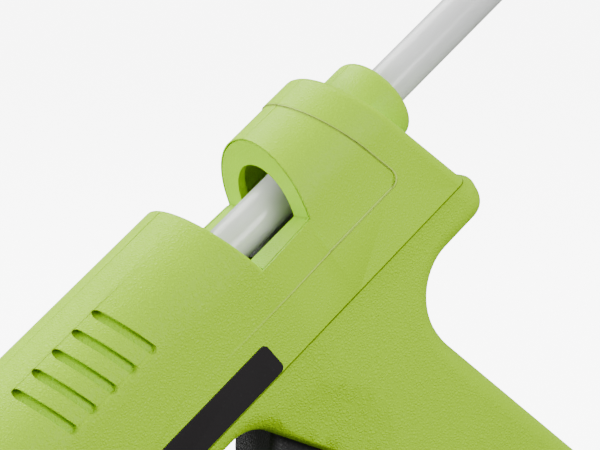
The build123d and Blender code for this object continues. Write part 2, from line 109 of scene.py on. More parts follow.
# Painted highlight of the raised line, lighter than the case
LINE_HIGHLIGHT_COLOUR = (0.72, 0.92, 0.20)
DUST_COLOUR = (0.06, 0.058, 0.06)


def body_of(node):
    """The name of the body that a CAD node belongs to."""
    return next(body for body, members in BODIES.items() if node in members)


# ---- Shader maths ----
class Signal:
    """One value in a shader, which Python arithmetic works on."""

    def __init__(self, paint, socket):
        self.paint = paint
        self.socket = socket

    def maths(self, operation, first, second=0.0):
        return self.paint.node("ShaderNodeMath", {"operation": operation}, {0: first, 1: second})

    def __add__(self, other):
        return self.maths("ADD", self, other)

    def __radd__(self, other):
        return self.maths("ADD", other, self)

    def __sub__(self, other):
        return self.maths("SUBTRACT", self, other)

    def __rsub__(self, other):
        return self.maths("SUBTRACT", other, self)

    def __mul__(self, other):
        return self.maths("MULTIPLY", self, other)

    def __rmul__(self, other):
        return self.maths("MULTIPLY", other, self)

    def __truediv__(self, other):
        return self.maths("DIVIDE", self, other)

    def __pow__(self, other):
        return self.maths("POWER", self, other)

    def at_least(self, other):
        return self.maths("MAXIMUM", self, other)

    def at_most(self, other):
        return self.maths("MINIMUM", self, other)

    def larger(self, other):
        return self.maths("MAXIMUM", self, other)

    def size(self):
        return self.maths("ABSOLUTE", self)

    def step(self, low, high):
        """0 below low, 1 above high, and smooth between."""
        return self.paint.node(
            "ShaderNodeMapRange", {"interpolation_type": "SMOOTHSTEP"},
            {"Value": self, "From Min": low, "From Max": high})


class Paint:
    """The nodes of one material, ending in a Principled shader."""

    def __init__(self, name, **constants):
        self.material = bpy.data.materials.new(name)
        self.material.use_nodes = True
        self.tree = self.material.node_tree
        self.tree.nodes.clear()
        self.shader = self.tree.nodes.new("ShaderNodeBsdfPrincipled")
        self.output = self.tree.nodes.new("ShaderNodeOutputMaterial")
        self.tree.links.new(self.shader.outputs[0], self.output.inputs["Surface"])
        for socket, value in constants.items():
            self.feed(socket.replace("_", " "), value)
        self.place = self.node("ShaderNodeTexCoord", output="Object")

    def connect(self, socket, value):
        """Links a signal to a socket, or sets the socket to a plain value."""
        if isinstance(value, Signal):
            self.tree.links.new(value.socket, socket)
        elif isinstance(value, (tuple, list)) and socket.type == "RGBA" and len(value) == 3:
            socket.default_value = (*value, 1.0)
        else:
            socket.default_value = value

    def feed(self, name, value):
        """Gives one input of the Principled shader its value."""
        self.connect(self.shader.inputs[name], value)

    def node(self, kind, settings=None, sockets=None, output=0):
        """Any node: its settings first, then the values or links of its sockets."""
        made = self.tree.nodes.new(kind)
        for name, value in (settings or {}).items():
            setattr(made, name, value)
        for name, value in (sockets or {}).items():
            self.connect(made.inputs[name], value)
        return Signal(self, made.outputs[output])

    def noise(self, size, detail=2.0, rough=0.5, stretch=None, lean=0.0):
        """Noise whose features are size metres across."""
        place = self.place
        if stretch or lean:
            place = self.node(
                "ShaderNodeMapping", {"vector_type": "POINT"},
                {"Vector": place, "Rotation": (0.0, lean, 0.0), "Scale": stretch or (1.0, 1.0, 1.0)})
        return self.node(
            "ShaderNodeTexNoise", {"noise_dimensions": "3D"},
            {"Vector": place, "Scale": 1.0 / size, "Detail": detail, "Roughness": rough})

    def cells(self, size):
        """Cells that are size metres across, as in moulded leather grain."""
        warp = self.node(
            "ShaderNodeTexNoise", {"noise_dimensions": "3D"},
            {"Vector": self.place, "Scale": 0.7 / size, "Detail": 1.0}, output="Color")
        pulled = self.node(
            "ShaderNodeVectorMath", {"operation": "MULTIPLY_ADD"},
            {0: warp, 1: (size * 0.9,) * 3, 2: self.place})
        return self.node(
            "ShaderNodeTexVoronoi", {"feature": "DISTANCE_TO_EDGE"},
            {"Vector": pulled, "Scale": 1.0 / size})

    def along(self, direction, start):
        """Distance in metres along a direction from a point."""
        offset = self.node(
            "ShaderNodeVectorMath", {"operation": "SUBTRACT"}, {0: self.place, 1: tuple(start)})
        return self.node(
            "ShaderNodeVectorMath", {"operation": "DOT_PRODUCT"}, {0: offset, 1: tuple(direction)},
            output="Value")

    def crevice_shade_mask(self, reach):
        """Ambient occlusion for painted shade: 0 in the open and up to 1 deep in a groove or corner, looking reach
        metres out.
        """
        made = self.node(
            "ShaderNodeAmbientOcclusion", {"samples": 8, "only_local": True}, {"Distance": reach},
            output="AO")
        return 1 - made

    def mix(self, amount, low, high):
        """A colour between low and high."""
        made = self.tree.nodes.new("ShaderNodeMix")
        made.data_type = "RGBA"
        self.connect(made.inputs[0], amount)
        self.connect(made.inputs[6], low)
        self.connect(made.inputs[7], high)
        return Signal(self, made.outputs[2])

    def bump(self, height, depth, strength=1.0, edge=0.0):
        """Relief of depth metres, on edges softened to the radius edge."""
        sockets = {"Height": height, "Distance": depth, "Strength": strength}
        if edge:
            sockets["Normal"] = self.node("ShaderNodeBevel", {"samples": 4}, {"Radius": edge})
        self.feed("Normal", self.node("ShaderNodeBump", None, sockets))


def shade(colour, factor):
    """The colour made darker or lighter."""
    return tuple(min(1.0, channel * factor) for channel in colour)


def moulded(name, colour, grain=0.0009, depth=0.00005, rough=0.42):
    """A moulded plastic with fine grain, softened edges and a little unevenness."""
    paint = Paint(name, IOR=1.46)
    cells = paint.cells(grain)
    cloud = paint.noise(0.02, 3.0)
    fine = paint.noise(grain * 0.5, 2.0)
    paint.feed("Base Color", paint.mix(cloud, shade(colour, 0.94), shade(colour, 1.06)))
    paint.feed("Roughness", rough - 0.06 + cloud * 0.08 + fine * 0.05)
    paint.bump(cells.step(0.0, 0.35) + fine * 0.25, depth, edge=MOULDED_EDGE)
    return paint.material


def case_plastic(look):
    """Lime plastic: leather grain stronger on the grip and nose, a raised line with a painted highlight, a joint
    line painted dark as the shade in its gap, and painted shade in grooves and corners.
    """
    colour = tuple(look.case_colour)
    paint = Paint("case_plastic", IOR=1.47, Specular_IOR_Level=0.2)
    height = paint.along(UPWARD, BARREL_START)
    reach = paint.along(BACKWARD, BARREL_START)
    on_grip = 1 - height.step(STEP_Z - 0.0006, STEP_Z - 0.0001)
    on_nose = 1 - reach.step(-0.004, 0.006)
    strength = 0.45 + on_grip * 0.5 + on_nose * 0.35
    # The raised line runs down the hump's side, turns a round corner and fades towards the nose; it is raised in
    # the bump and painted lighter as a highlight.
    past_line = (reach + height * LINE_SLOPE - LINE_X) * LINE_SQUASH + LINE_CORNER
    under_line = (LINE_LOW_Z + LINE_CORNER) - height
    corner = (past_line.at_least(0) ** 2 + under_line.at_least(0) ** 2) ** 0.5
    from_line = (corner + past_line.larger(under_line).at_most(0) - LINE_CORNER).size()
    line = (1 - from_line.step(LINE_CORE, LINE_FADE)) * reach.step(-0.034, 0.02) * (1 - on_grip)
    # The joint between the upper case and the grip: a real groove in the bump, and painted dark as the shade in
    # its gap.
    joint = 1 - (height - STEP_Z).size().step(LINE_CORE, LINE_FADE)
    cells = paint.cells(look.grain * MM)
    fine = paint.noise(look.grain * MM * 0.45, 2.0)
    cloud = paint.noise(0.03, 2.0)
    worn = paint.mix(cloud, shade(colour, 0.96), shade(colour, 1.03))
    in_grain = (1 - cells.step(0.0, 0.15)) * strength * 0.35
    grained = paint.mix(in_grain, worn, shade(colour, 0.72))
    # Painted highlight: the raised line is lightened.
    lit_line = paint.mix(line * 0.5, grained, LINE_HIGHLIGHT_COLOUR)
    # Painted shade: grooves, corners and gaps between parts are darkened by ambient occlusion.
    crevice_shaded = paint.mix(paint.crevice_shade_mask(CREVICE_SHADE_REACH).step(0.1, 0.75) * 0.7, lit_line, shade(colour, 0.35))
    # Painted shade: the joint line is darkened as if in the shadow of its gap.
    paint.feed("Base Color", paint.mix(joint * 0.75, crevice_shaded, shade(colour, 0.16)))
    paint.feed("Roughness", 0.38 + cloud * 0.05 + on_grip * 0.07 + fine * 0.04)
    relief = (cells.step(0.0, 0.42) + fine * 0.35) * strength + line * 2.0 - joint * 2.5
    paint.bump(relief, look.grain_depth * MM, edge=CASE_EDGE)
    return paint.material


def glue_material(look):
    """Cloudy translucent glue with drawn streaks along it."""
    paint = Paint(
        "hot_melt_glue", IOR=1.48, Subsurface_Weight=0.9, Subsurface_Scale=0.012,
        Coat_Weight=0.25, Coat_Roughness=0.12)
    paint.feed("Subsurface Radius", (1.0, 1.0, 1.0))
    streaks = paint.noise(0.004, 1.0, stretch=(0.05, 1.0, 1.0), lean=LEAN)
    cloud = paint.noise(0.012, 2.0)
    pale = tuple(look.glue_colour)
    drawn = cloud * 0.6 + streaks * 0.4
    paint.feed("Base Color", paint.mix(drawn, shade(pale, 0.95), shade(pale, 1.04)))
    paint.feed("Roughness", 0.2 + streaks * 0.06)
    paint.bump(streaks + paint.noise(0.0008) * 0.15, 0.000012, edge=0.0004)
    return paint.material


def metal(name, colour, rough=0.3):
    """A drawn or turned metal with fine scratches and faint stains."""
    paint = Paint(name, Metallic=1.0)
    scratches = paint.noise(0.0004, 2.0, stretch=(0.08, 1.0, 1.0), lean=LEAN)
    cloud = paint.noise(0.008, 3.0)
    paint.feed("Base Color", paint.mix(cloud, colour, shade(colour, 0.8)))
    paint.feed("Roughness", rough - 0.08 + scratches * 0.12 + cloud * 0.08)
    paint.bump(scratches, FINE_RELIEF, edge=METAL_EDGE)
    return paint.material


def brass_material(look):
    """Turned brass, darkened by heat towards the tip and dulled by old glue."""
    paint = Paint("heated_brass", Metallic=1.0)
    reach = paint.along(BACKWARD, BARREL_START)
    heat = 1 - reach.step(-0.116, -0.100)
    cloud = paint.noise(0.003, 4.0)
    bright = tuple(look.brass_colour)
    paint.feed("Base Color", paint.mix(heat * 0.5 + cloud * 0.3, bright, shade(bright, 0.45)))
    paint.feed("Roughness", 0.24 + cloud * 0.2)
    turning = paint.node(
        "ShaderNodeTexWave", {"wave_type": "BANDS", "bands_direction": "X"},
        {"Vector": paint.node("ShaderNodeCombineXYZ", None, {0: reach}), "Scale": 700.0})
    paint.bump(turning * 0.5 + cloud * 0.5, FINE_RELIEF, edge=METAL_EDGE)
    return paint.material


def label_material(look):
    """Gloss black plate, blank, with faint dust and handling marks."""
    paint = Paint("blank_label", IOR=1.5, Specular_IOR_Level=0.25)
    dust = paint.noise(0.0006, 4.0, 0.7)
    smears = paint.noise(0.012, 3.0)
    specks = dust.step(0.62, 0.8)
    paint.feed("Base Color", paint.mix(specks, tuple(look.label_colour), DUST_COLOUR))
    paint.feed("Roughness", 0.3 + smears * 0.12)
    paint.bump(dust, 0.000006, edge=0.0002)
    return paint.material


# ---- Making pieces ----
def add_object(name, mesh):
    """Links a mesh into the scene as an object at the origin."""
    made = bpy.data.objects.new(name, mesh)
    bpy.context.scene.collection.objects.link(made)
    return made


def bake(piece):
    """Turns a piece's modifiers into plain mesh."""
    graph = bpy.context.evaluated_depsgraph_get()
    mesh = bpy.data.meshes.new_from_object(
        piece.evaluated_get(graph), preserve_all_data_layers=True, depsgraph=graph)
    piece.modifiers.clear()
    piece.data = mesh


def settle(piece, material, body, replaced=(), angle=35.0, holed=False):
    """Gives a finished piece its material, smooth shading and body, and hides the CAD nodes it stands for.

    holed is for a piece whose holes run into rounded edges: its normals are evened by corner.
    """
    mesh = piece.data
    mesh.materials.clear()
    mesh.materials.append(material)
    mesh.shade_smooth()
    mesh.set_sharp_from_angle(angle=math.radians(angle))
    evener = piece.modifiers.new("even_normals", "WEIGHTED_NORMAL")
    evener.mode = "FACE_AREA_WITH_ANGLE" if holed else "FACE_AREA"
    evener.weight = 50 if holed else 100
    evener.keep_sharp = True
    bake(piece)
    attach(piece, body)
    if replaced:
        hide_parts(*replaced)
        slot_of(replaced[0])
    return piece


def slot_of(node):
    """The record's material slot of a CAD node."""
    return next(part["material_slot"] for part in frame["record"]["subparts"] if part["node"] == node)


def merged_copy(node, name):
    """A copy of a CAD node's mesh with its loose triangles joined up."""
    mesh = NODES[node].data.copy()
    work = bmesh.new()
    work.from_mesh(mesh)
    bmesh.ops.remove_doubles(work, verts=work.verts, dist=WELD)
    work.to_mesh(mesh)
    work.free()
    return add_object(name, mesh)


def refine(node, name, material, angle=30.0, holed=False):
    """Shows a CAD node as a smooth-shaded piece of the same shape."""
    piece = merged_copy(node, name)
    return settle(piece, material, body_of(node), (node,), angle, holed)


class Recipe:
    """A Geometry Nodes tree with named inputs, which turns a plain mesh into a finished piece."""

    KINDS = {int: "NodeSocketInt", float: "NodeSocketFloat", Vector: "NodeSocketVector"}

    def __init__(self, name, values):
        self.name = name
        self.values = values
        self.tree = bpy.data.node_groups.new(name, "GeometryNodeTree")
        face = self.tree.interface
        face.new_socket("Mesh", in_out="INPUT", socket_type="NodeSocketGeometry")
        self.labels = {}
        for label, value in values.items():
            kind = self.KINDS.get(type(value), "NodeSocketMaterial")
            self.labels[label] = face.new_socket(label, in_out="INPUT", socket_type=kind).identifier
        face.new_socket("Mesh", in_out="OUTPUT", socket_type="NodeSocketGeometry")
        self.start = self.tree.nodes.new("NodeGroupInput")
        self.end = self.tree.nodes.new("NodeGroupOutput")

    def take(self, label):
        """The output of the tree's named input."""
        return self.start.outputs[label]

    def node(self, kind, sockets=None, settings=None, output=0):
        """A node of the tree with its inputs connected, given as its output."""
        made = self.tree.nodes.new(kind)
        for key, value in (settings or {}).items():
            setattr(made, key, value)
        for key, value in (sockets or {}).items():
            for one in value if isinstance(value, list) else [value]:
                if isinstance(one, bpy.types.NodeSocket):
                    self.tree.links.new(one, made.inputs[key])
                else:
                    made.inputs[key].default_value = one
        return made.outputs[output]

    def maths(self, operation, first, second=0.0):
        return self.node("ShaderNodeMath", {0: first, 1: second}, {"operation": operation})

    def vector(self, x=0.0, y=0.0, z=0.0):
        return self.node("ShaderNodeCombineXYZ", {"X": x, "Y": y, "Z": z})

    def grow(self, mesh, geometry, material):
        """Ends the tree, runs it on the mesh and returns the plain result as an object."""
        solid = self.node("GeometryNodeRealizeInstances", {"Geometry": geometry})
        painted = self.node("GeometryNodeSetMaterial", {
            "Geometry": solid, "Material": self.take("Material")})
        self.tree.links.new(painted, self.end.inputs[0])
        piece = add_object(self.name, mesh)
        modifier = piece.modifiers.new(self.name, "NODES")
        modifier.node_group = self.tree
        for label, value in {**self.values, "Material": material}.items():
            modifier[self.labels[label]] = tuple(value) if isinstance(value, Vector) else value
        bake(piece)
        work = bmesh.new()
        work.from_mesh(piece.data)
        bmesh.ops.recalc_face_normals(work, faces=work.faces)
        work.to_mesh(piece.data)
        work.free()
        return piece


def islands(node):
    """The boxes of the separate solids of a CAD node, as (lowest, highest) corners in metres."""
    work = bmesh.new()
    work.from_mesh(NODES[node].data)
    bmesh.ops.remove_doubles(work, verts=work.verts, dist=WELD)
    unseen = set(work.verts)
    boxes = []
    while unseen:
        edge_of_island = [unseen.pop()]
        members = []
        while edge_of_island:
            vertex = edge_of_island.pop()
            members.append(vertex.co.copy())
            for edge in vertex.link_edges:
                other = edge.other_vert(vertex)
                if other in unseen:
                    unseen.remove(other)
                    edge_of_island.append(other)
        low = Vector([min(point[i] for point in members) for i in range(3)])
        high = Vector([max(point[i] for point in members) for i in range(3)])
        boxes.append((low, high))
    work.free()
    return boxes


def lathe(name, profile, steps=LATHE_STEPS):
    """A closed body of revolution about the barrel, from (x, radius) points in millimetres."""
    work = bmesh.new()
    rings = []
    for x, radius in profile:
        if radius < 1e-6:
            rings.append([work.verts.new((x, 0, 0))])
            continue
        ring = []
        for step in range(steps):
            turn = 2 * math.pi * step / steps
            ring.append(work.verts.new((x, radius * math.cos(turn), radius * math.sin(turn))))
        rings.append(ring)
    closed = len(rings[0]) > 1
    pairs = list(zip(rings, rings[1:]))
    if closed:
        pairs.append((rings[-1], rings[0]))
    for first, second in pairs:
        for step in range(steps):
            after = (step + 1) % steps
            corners = [first[step % len(first)], first[after % len(first)],
                       second[after % len(second)], second[step % len(second)]]
            unique = list(dict.fromkeys(corners))
            if len(unique) > 2:
                work.faces.new(unique)
    bmesh.ops.recalc_face_normals(work, faces=work.faces)
    mesh = bpy.data.meshes.new(name)
    work.to_mesh(mesh)
    work.free()
    mesh.transform(TO_WORLD)
    return add_object(name, mesh)


def rounded(profile, radius, steps=CORNER_STEPS):
    """The profile with each inner corner replaced by a small arc of points."""
    result = [profile[0]]
    for before, corner, after in zip(profile, profile[1:], profile[2:]):
        here = Vector(corner)
        back = Vector(before) - here
        ahead = Vector(after) - here
        reach = min(radius, back.length * 0.45, ahead.length * 0.45)
        start = here + back.normalized() * reach
        end = here + ahead.normalized() * reach
        for step in range(steps + 1):
            t = step / steps
            point = start * (1 - t) ** 2 + here * 2 * t * (1 - t) + end * t ** 2
            result.append((point.x, point.y))
    result.append(profile[-1])
    return result


# ---- Settings a user would change ----
class GunLook(bpy.types.PropertyGroup):
    """Colours and finishes of the glue gun."""

    case_colour: FloatVectorProperty(
        name="Case colour", description="Lime plastic of the case", subtype="COLOR",
        default=(0.46, 0.86, 0.0003), min=0.0, max=1.0)
    glue_colour: FloatVectorProperty(
        name="Glue colour", description="Cloudy glue of the stick", subtype="COLOR",
        default=(0.78, 0.79, 0.79), min=0.0, max=1.0)
    brass_colour: FloatVectorProperty(
        name="Nozzle colour", description="Brass of the nozzle", subtype="COLOR",
        default=(0.72, 0.50, 0.22), min=0.0, max=1.0)
    label_colour: FloatVectorProperty(
        name="Label colour", description="Blank plate on the side", subtype="COLOR",
        default=(0.017, 0.015, 0.016), min=0.0, max=1.0)
    trim_colour: FloatVectorProperty(
        name="Trim colour", description="Black plastic of the trigger and nose ring", subtype="COLOR",
        default=(0.022, 0.021, 0.022), min=0.0, max=1.0)
    grain: FloatProperty(
        name="Grain size", description="Width of one cell of the moulded grain, in millimetres",
        default=0.85, min=0.2, max=3.0)
    grain_depth: FloatProperty(
        name="Grain depth", description="Depth of the moulded grain, in millimetres",
        default=0.13, min=0.0, max=0.5)


class DetailSizes(bpy.types.PropertyGroup):
    """Sizes of the details that repeat."""

    head_height: FloatProperty(
        name="Screw head height", description="Thickness of a case screw's head", unit="LENGTH",
        default=2.0 * MM, min=0.5 * MM)
    shank_radius: FloatProperty(
        name="Screw shank radius", description="Radius of a case screw's shank", unit="LENGTH",
        default=1.48 * MM, min=0.5 * MM)
    recess_width: FloatProperty(
        name="Recess width", description="Width of one arm of the cross recess", unit="LENGTH",
        default=0.75 * MM, min=0.1 * MM)
    recess_depth: FloatProperty(
        name="Recess depth", description="Depth of the cross recess", unit="LENGTH",
        default=1.1 * MM, min=0.1 * MM)
    turn_seed: IntProperty(
        name="Turn seed", description="Picks how far each screw is turned", default=4, min=0)
    rib_count: IntProperty(
        name="Boot ribs", description="Raised rings round the silicone boot", default=6, min=2, max=20)
    ribs_start: FloatProperty(
        name="First rib", description="From the boot's front end to its first ring", unit="LENGTH",
        default=5.0 * MM, min=0.0)
    ribs_end: FloatProperty(
        name="Last rib", description="From the boot's front end to its last ring", unit="LENGTH",
        default=16.5 * MM, min=0.0)
    rib_radius: FloatProperty(
        name="Rib radius", description="Radius of the round section of one ring", unit="LENGTH",
        default=0.4 * MM, min=0.1 * MM)


class StudioSettings(bpy.types.PropertyGroup):
    """Camera and light."""

    azimuth: FloatProperty(
        name="Azimuth", description="Angle of the camera round the gun", subtype="ANGLE",
        default=math.radians(-34.8))
    elevation: FloatProperty(
        name="Elevation", description="Angle of the camera above the bench", subtype="ANGLE",
        default=math.radians(7.46))
    distance: FloatProperty(
        name="Distance", description="From the camera to the point it looks at", unit="LENGTH",
        default=0.6, min=0.05)
    focal_length: FloatProperty(
        name="Focal length", description="Lens of the camera, in millimetres on a 36 mm frame",
        default=143.5, min=10.0)
    target: FloatVectorProperty(
        name="Target", description="Point that the camera looks at", subtype="XYZ",
        default=(-0.0620, 0.0009, 0.0944))
    floor_size: FloatProperty(
        name="Floor size", description="Width of the floor", unit="LENGTH", default=40.0, min=1.0)
    glow_above: FloatProperty(
        name="Room light above", description="Brightness of the room overhead", default=0.62, min=0.0)
    glow_below: FloatProperty(
        name="Room light below", description="Brightness of the room below", default=0.12, min=0.0)
    floor_glow: FloatProperty(
        name="Floor glow", description="Light that comes up through the floor paper",
        default=7.0, min=0.0)
    floor_colour: FloatVectorProperty(
        name="Floor colour", description="Plain pale floor", subtype="COLOR",
        default=(0.92, 0.92, 0.92), min=0.0, max=1.0)


# ---- Operators ----
class GLUEGUN_OT_stage(bpy.types.Operator):
    """Make the pale floor, soft lights and camera"""

    bl_idname = "gluegun.stage"
    bl_label = "Studio"

    def execute(self, context):
        studio = context.scene.glue_studio
        self.make_floor(studio)
        self.make_camera(context, studio)
        self.make_lights(context, studio)
        return {"FINISHED"}

    def make_floor(self, studio):
        half = studio.floor_size / 2
        mesh = bpy.data.meshes.new("studio_floor")
        corners = [(-half, -half, 0), (half, -half, 0), (half, half, 0), (-half, half, 0)]
        mesh.from_pydata(corners, [], [(0, 1, 2, 3)])
        floor = add_object("studio_floor", mesh)
        floor.location.z = -0.0004
        floor.visible_diffuse = False
        floor.visible_glossy = False
        paint = Paint("floor_paper", Roughness=0.85, Emission_Color=(1.0, 1.0, 1.0))
        paint.feed("Emission Strength", studio.floor_glow)
        tone = paint.noise(0.004, 3.0)
        colour = tuple(studio.floor_colour)
        paint.feed("Base Color", paint.mix(tone, shade(colour, 0.99), colour))
        mesh.materials.append(paint.material)

    def make_camera(self, context, studio):
        data = bpy.data.cameras.new("photo_camera")
        data.lens = studio.focal_length
        data.sensor_width = 36.0
        data.clip_start = 0.01
        data.clip_end = 100.0
        camera = bpy.data.objects.new("photo_camera", data)
        context.scene.collection.objects.link(camera)
        toward = Vector((
            math.sin(studio.azimuth) * math.cos(studio.elevation),
            -math.cos(studio.azimuth) * math.cos(studio.elevation),
            math.sin(studio.elevation),
        ))
        camera.location = Vector(studio.target) + toward * studio.distance
        camera.rotation_euler = toward.to_track_quat("Z", "Y").to_euler()
        context.scene.camera = camera

    def make_lights(self, context, studio):
        target = Vector(studio.target)
        lamps = [
            ("front_light", Vector((0.15, -1.00, 0.30)), 0.5, 8.5),
            ("left_light", Vector((-0.95, 0.32, 0.03)), 0.7, 15.0),
            ("top_light", Vector((-0.05, 0.55, 0.95)), 0.8, 14.0),
        ]
        for name, offset, size, power in lamps:
            data = bpy.data.lights.new(name, "AREA")
            data.shape = "DISK"
            data.size = size
            data.energy = power
            lamp = bpy.data.objects.new(name, data)
            context.scene.collection.objects.link(lamp)
            lamp.location = target + offset
            lamp.rotation_euler = offset.to_track_quat("Z", "Y").to_euler()
        self.make_room(context, studio)

    def make_room(self, context, studio):
        """A room that is brighter overhead, seen by the camera as the floor's white."""
        world = bpy.data.worlds.new("soft_room")
        world.use_nodes = True
        nodes = world.node_tree.nodes
        links = world.node_tree.links
        direction = nodes.new("ShaderNodeTexCoord")
        split = nodes.new("ShaderNodeSeparateXYZ")
        brightness = nodes.new("ShaderNodeMapRange")
        brightness.inputs["From Min"].default_value = -0.5
        brightness.inputs["From Max"].default_value = 0.6
        brightness.inputs["To Min"].default_value = studio.glow_below
        brightness.inputs["To Max"].default_value = studio.glow_above
        ray = nodes.new("ShaderNodeLightPath")
        seen = nodes.new("ShaderNodeMix")
        seen.inputs[3].default_value = studio.floor_glow + 1
        links.new(direction.outputs["Object"], split.inputs[0])
        links.new(split.outputs["Z"], brightness.inputs["Value"])
        links.new(ray.outputs["Is Camera Ray"], seen.inputs[0])
        links.new(brightness.outputs[0], seen.inputs[2])
        links.new(seen.outputs[0], nodes["Background"].inputs["Strength"])
        nodes["Background"].inputs["Color"].default_value = (1.0, 1.0, 1.0, 1.0)
        context.scene.world = world


class GLUEGUN_OT_case(bpy.types.Operator):
    """Dress the case halves, the window's bezel and the case screws"""

    bl_idname = "gluegun.case"
    bl_label = "Case"

    def execute(self, context):
        look = context.scene.glue_look
        plastic = case_plastic(look)
        refine("left_shell", "case_left", plastic, 25.0)
        refine("right_shell", "case_right", plastic, 25.0, holed=True)
        refine("window_bezel", "window_frame", plastic, 25.0)
        self.make_screws(context.scene.glue_details)
        return {"FINISHED"}

    def make_screws(self, sizes):
        """Pan-head screws with a cross recess, one at each solid of the CAD node."""
        steel = metal("zinc_screw", (0.42, 0.42, 0.43), rough=0.35)
        boxes = islands("shell_screws")
        if not boxes:
            raise RuntimeError("the case screws have no solids")
        low, high = boxes[0]
        seats = [((a.x + b.x) / 2, b.y - sizes.head_height, (a.z + b.z) / 2) for a, b in boxes]
        mesh = bpy.data.meshes.new("screw_seats")
        mesh.from_pydata(seats, [], [])
        recipe = Recipe("case_screws", {
            "Head radius": (high.x - low.x) / 2, "Head height": sizes.head_height,
            "Shank radius": sizes.shank_radius, "Shank length": high.y - low.y - sizes.head_height,
            "Recess width": sizes.recess_width, "Recess depth": sizes.recess_depth,
            "Turn seed": sizes.turn_seed, "Material": None,
        })
        screw = self.screw_shape(recipe)
        turn = recipe.node("FunctionNodeRandomValue", {
            2: 0.0, 3: math.pi / 2, "Seed": recipe.take("Turn seed")}, output=1)
        upright = recipe.node("GeometryNodeInstanceOnPoints", {
            "Points": recipe.take("Mesh"), "Instance": screw, "Rotation": (-math.pi / 2, 0.0, 0.0)})
        spin = recipe.node("FunctionNodeEulerToRotation", {"Euler": recipe.vector(z=turn)})
        turned = recipe.node("GeometryNodeRotateInstances", {
            "Instances": upright, "Rotation": spin, "Local Space": True})
        piece = recipe.grow(mesh, turned, steel)
        settle(piece, steel, "case", ("shell_screws",), 40.0)

    def screw_shape(self, recipe):
        """One screw along z, with its seat at the origin."""
        height = recipe.take("Head height")
        radius = recipe.take("Head radius")
        blank = recipe.node("GeometryNodeMeshCylinder", {
            "Vertices": 64, "Side Segments": 4, "Fill Segments": 8, "Radius": radius, "Depth": height})
        place = recipe.node("GeometryNodeInputPosition")
        split = recipe.node("ShaderNodeSeparateXYZ", {"Vector": place}).node
        flat = recipe.vector(split.outputs["X"], split.outputs["Y"])
        length = recipe.node("ShaderNodeVectorMath", {0: flat}, {"operation": "LENGTH"}, output="Value")
        outward = recipe.maths("DIVIDE", length, radius)
        crown = recipe.maths("MULTIPLY", recipe.maths("POWER", outward, 4.0), height)
        share = recipe.maths("ADD", recipe.maths("DIVIDE", split.outputs["Z"], height), 0.5)
        drop = recipe.maths("MULTIPLY", recipe.maths("MULTIPLY", crown, share), -0.42)
        domed = recipe.node("GeometryNodeSetPosition", {
            "Geometry": blank, "Offset": recipe.vector(z=drop)})
        depth = recipe.take("Recess depth")
        across = recipe.maths("MULTIPLY", radius, 1.15)
        width = recipe.take("Recess width")
        tall = recipe.maths("MULTIPLY", depth, 2.0)
        top = recipe.node("GeometryNodeTransform", {
            "Geometry": domed, "Translation": recipe.vector(z=recipe.maths("MULTIPLY", height, 0.5))})
        bars = [
            recipe.node("GeometryNodeTransform", {
                "Geometry": recipe.node("GeometryNodeMeshCube", {"Size": size}),
                "Translation": recipe.vector(z=height)})
            for size in (recipe.vector(across, width, tall), recipe.vector(width, across, tall))
        ]
        head = recipe.node(
            "GeometryNodeMeshBoolean", {"Mesh 1": top, "Mesh 2": bars}, {"solver": "EXACT"})
        long = recipe.take("Shank length")
        shank = recipe.node("GeometryNodeMeshCylinder", {
            "Vertices": 32, "Radius": recipe.take("Shank radius"), "Depth": long})
        low = recipe.node("GeometryNodeTransform", {
            "Geometry": shank, "Translation": recipe.vector(z=recipe.maths("MULTIPLY", long, -0.5))})
        return recipe.node("GeometryNodeJoinGeometry", {"Geometry": [head, low]})


class GLUEGUN_OT_labels(bpy.types.Operator):
    """Dress the blank plates on both sides"""

    bl_idname = "gluegun.labels"
    bl_label = "Labels"

    def execute(self, context):
        gloss = label_material(context.scene.glue_look)
        refine("left_label", "label_left", gloss)
        refine("right_label", "label_right", gloss)
        return {"FINISHED"}


